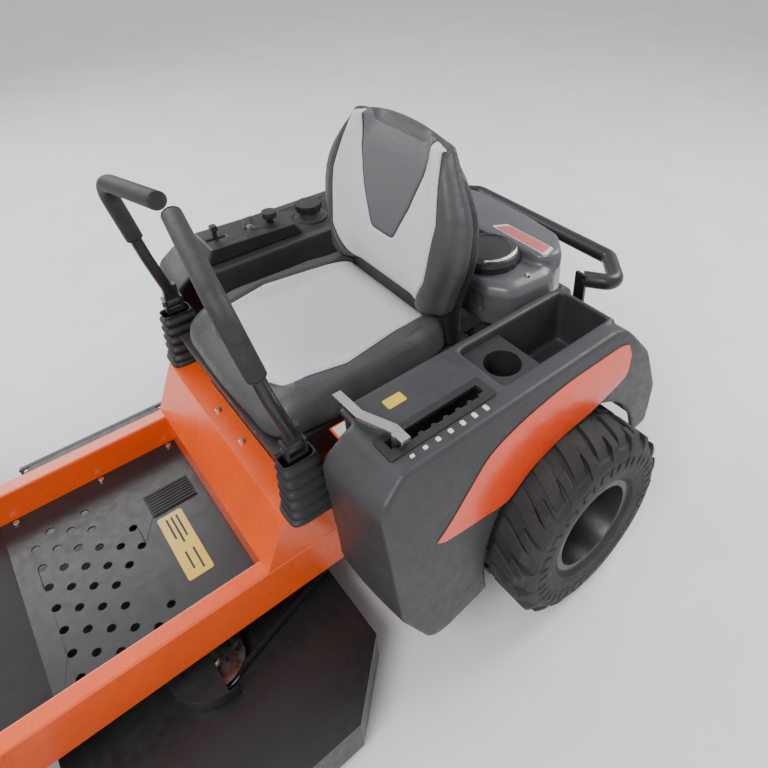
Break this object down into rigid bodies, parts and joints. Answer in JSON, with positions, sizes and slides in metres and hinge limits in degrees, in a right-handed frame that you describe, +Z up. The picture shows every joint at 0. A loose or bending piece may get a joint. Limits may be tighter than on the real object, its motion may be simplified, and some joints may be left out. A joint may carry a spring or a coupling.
{
  "type": "zero turn mower",
  "caption": "Ride-on lawn mower steered by two lap bars, with a padded seat, rear engine, moulded fenders, drive tyres, front casters and a side-discharge deck.",
  "frame": {"origin": "on the ground under the middle of the machine's length and width", "axes": "+Z up, the front faces -Y, +X is the driver's left"},
  "size_m": [1.2438, 1.82, 1.036],
  "materials": {
    "orange_steel": "powder coat",
    "black_steel": "powder coat",
    "grey_plastic": "moulded grain",
    "black_plastic": "moulded grain",
    "tyre_rubber": "tread",
    "soft_rubber": "matt",
    "grip_foam": "foam",
    "seat_vinyl": "embossed vinyl",
    "bare_steel": "zinc plated",
    "cast_alloy": "cast",
    "tank_plastic": "blow moulded"
  },
  "bodies": {
    "chassis": {"battery": "black_plastic", "control_panel": "black_plastic", "cup_holder": "black_plastic", "engine_block": "cast_alloy", "engine_cover": "grey_plastic", "engine_plate": "black_steel", "fasteners": "bare_steel", "foot_platform": "black_steel", "front_axle_beam": "black_steel", "fuel_tank": "tank_plastic", "left_fender": "grey_plastic", "left_frame_rail": "orange_steel", "left_lever_boot": "soft_rubber", "left_transaxle": "cast_alloy", "lever_brackets": "black_steel", "muffler": "black_steel", "rear_bumper": "black_steel", "right_fender": "grey_plastic", "right_frame_rail": "orange_steel", "right_lever_boot": "soft_rubber", "right_transaxle": "cast_alloy", "seat_box": "orange_steel", "seat_mount": "black_steel"},
    "seat": {"seat_pan": "black_plastic", "seat_cushion": "seat_vinyl", "seat_back": "seat_vinyl", "seat_shell": "black_plastic"},
    "height_lever": {"height_lever": "bare_steel"},
    "deck": {"deck_shell": "black_steel", "deck_hangers": "black_steel", "deck_covers": "black_plastic", "deck_belt": "soft_rubber"},
    "discharge_chute": {"discharge_chute": "soft_rubber"},
    "crankshaft": {"crank_pulley": "bare_steel"},
    "fuel_cap": {"fuel_cap": "black_plastic"},
    "throttle_lever": {"throttle_lever": "black_plastic"},
    "ignition_key": {"ignition_key": "bare_steel"},
    "pto_knob": {"pto_knob": "black_plastic"},
    "left_rear_wheel": {"left_rear_rim": "black_steel", "left_rear_tyre": "tyre_rubber"},
    "left_caster": {"left_caster_fork": "black_steel"},
    "left_caster_wheel": {"left_caster_rim": "black_steel", "left_caster_tyre": "tyre_rubber"},
    "left_lever_pivot": {"left_lever_base": "black_steel"},
    "left_lever": {"left_lever_tube": "black_steel", "left_lever_grip": "grip_foam"},
    "left_blade_spindle": {"left_spindle": "bare_steel", "left_blade": "bare_steel"},
    "left_deck_wheel": {"left_deck_wheel": "tyre_rubber"},
    "right_rear_wheel": {"right_rear_rim": "black_steel", "right_rear_tyre": "tyre_rubber"},
    "right_caster": {"right_caster_fork": "black_steel"},
    "right_caster_wheel": {"right_caster_rim": "black_steel", "right_caster_tyre": "tyre_rubber"},
    "right_lever_pivot": {"right_lever_base": "black_steel"},
    "right_lever": {"right_lever_tube": "black_steel", "right_lever_grip": "grip_foam"},
    "right_blade_spindle": {"right_spindle": "bare_steel", "right_blade": "bare_steel"},
    "right_deck_wheel": {"right_deck_wheel": "tyre_rubber"}
  },
  "joints": [
    {"name": "left_rear_wheel_spin", "type": "hinge", "parent": "chassis", "child": "left_rear_wheel", "pos_m": [0.506, 0.455, 0.235], "axis": [1, 0, 0], "continuous": true},
    {"name": "left_caster_swivel", "type": "hinge", "parent": "chassis", "child": "left_caster", "pos_m": [0.51, -0.832, 0.33], "axis": [0, 0, 1], "continuous": true},
    {"name": "left_caster_wheel_spin", "type": "hinge", "parent": "left_caster", "child": "left_caster_wheel", "pos_m": [0.51, -0.77, 0.14], "axis": [1, 0, 0], "continuous": true},
    {"name": "left_lever_stroke", "type": "hinge", "parent": "chassis", "child": "left_lever_pivot", "pos_m": [0.287, -0.067, 0.47], "axis": [1, 0, 0], "range_deg": [-8, 16], "deforming": ["left_lever_boot"]},
    {"name": "left_lever_swing", "type": "hinge", "parent": "left_lever_pivot", "child": "left_lever", "pos_m": [0.287, -0.067, 0.615], "axis": [0, 1, 0], "range_deg": [0, 35]},
    {"name": "left_blade_spin", "type": "hinge", "parent": "deck", "child": "left_blade_spindle", "pos_m": [0.262, -0.309, 0.1], "axis": [0, 0, 1], "continuous": true},
    {"name": "left_deck_wheel_spin", "type": "hinge", "parent": "deck", "child": "left_deck_wheel", "pos_m": [0.3, -0.649, 0.062], "axis": [1, 0, 0], "continuous": true},
    {"name": "right_rear_wheel_spin", "type": "hinge", "parent": "chassis", "child": "right_rear_wheel", "pos_m": [-0.506, 0.455, 0.235], "axis": [1, 0, 0], "continuous": true},
    {"name": "right_caster_swivel", "type": "hinge", "parent": "chassis", "child": "right_caster", "pos_m": [-0.51, -0.832, 0.33], "axis": [0, 0, 1], "continuous": true},
    {"name": "right_caster_wheel_spin", "type": "hinge", "parent": "right_caster", "child": "right_caster_wheel", "pos_m": [-0.51, -0.77, 0.14], "axis": [1, 0, 0], "continuous": true},
    {"name": "right_lever_stroke", "type": "hinge", "parent": "chassis", "child": "right_lever_pivot", "pos_m": [-0.287, -0.067, 0.47], "axis": [1, 0, 0], "range_deg": [-8, 16], "deforming": ["right_lever_boot"]},
    {"name": "right_lever_swing", "type": "hinge", "parent": "right_lever_pivot", "child": "right_lever", "pos_m": [-0.287, -0.067, 0.615], "axis": [0, -1, 0], "range_deg": [0, 35]},
    {"name": "right_blade_spin", "type": "hinge", "parent": "deck", "child": "right_blade_spindle", "pos_m": [-0.262, -0.309, 0.1], "axis": [0, 0, 1], "continuous": true},
    {"name": "right_deck_wheel_spin", "type": "hinge", "parent": "deck", "child": "right_deck_wheel", "pos_m": [-0.3, -0.649, 0.062], "axis": [1, 0, 0], "continuous": true},
    {"name": "seat_tilt", "type": "hinge", "parent": "chassis", "child": "seat", "pos_m": [0, -0.05, 0.474], "axis": [1, 0, 0], "range_deg": [0, 34]},
    {"name": "deck_lift", "type": "slide", "parent": "chassis", "child": "deck", "axis": [0, 0, 1], "range_m": [0, 0.06], "deforming": ["deck_belt"]},
    {"name": "height_lever_turn", "type": "hinge", "parent": "chassis", "child": "height_lever", "pos_m": [0, 0.1525, 0.372], "axis": [-1, 0, 0], "range_deg": [0, 36]},
    {"name": "chute_lift", "type": "hinge", "parent": "deck", "child": "discharge_chute", "pos_m": [-0.5493, -0.305, 0.111], "axis": [0, 1, 0], "range_deg": [0, 95]},
    {"name": "crankshaft_spin", "type": "hinge", "parent": "chassis", "child": "crankshaft", "pos_m": [0, 0.555, 0.3], "axis": [0, 0, 1], "continuous": true},
    {"name": "fuel_cap_turn", "type": "hinge", "parent": "chassis", "child": "fuel_cap", "pos_m": [-0.398, 0.369, 0.67], "axis": [0, 0, 1], "range_deg": [0, 120]},
    {"name": "throttle_turn", "type": "hinge", "parent": "chassis", "child": "throttle_lever", "pos_m": [-0.37, 0.09, 0.668], "axis": [1, 0, 0], "range_deg": [-14, 14]},
    {"name": "key_turn", "type": "hinge", "parent": "chassis", "child": "ignition_key", "pos_m": [-0.37, 0.18, 0.69], "axis": [0, 0, 1], "range_deg": [0, 90]},
    {"name": "pto_pull", "type": "slide", "parent": "chassis", "child": "pto_knob", "axis": [0, 0, 1], "range_m": [0, 0.012]}
  ],
  "couplings": [
    {"joint": "height_lever_turn", "follows": "deck_lift", "rad_per_m": 10.471},
    {"joint": "left_blade_spin", "follows": "crankshaft_spin", "ratio": 0.8947},
    {"joint": "right_blade_spin", "follows": "crankshaft_spin", "ratio": 0.8947}
  ]
}
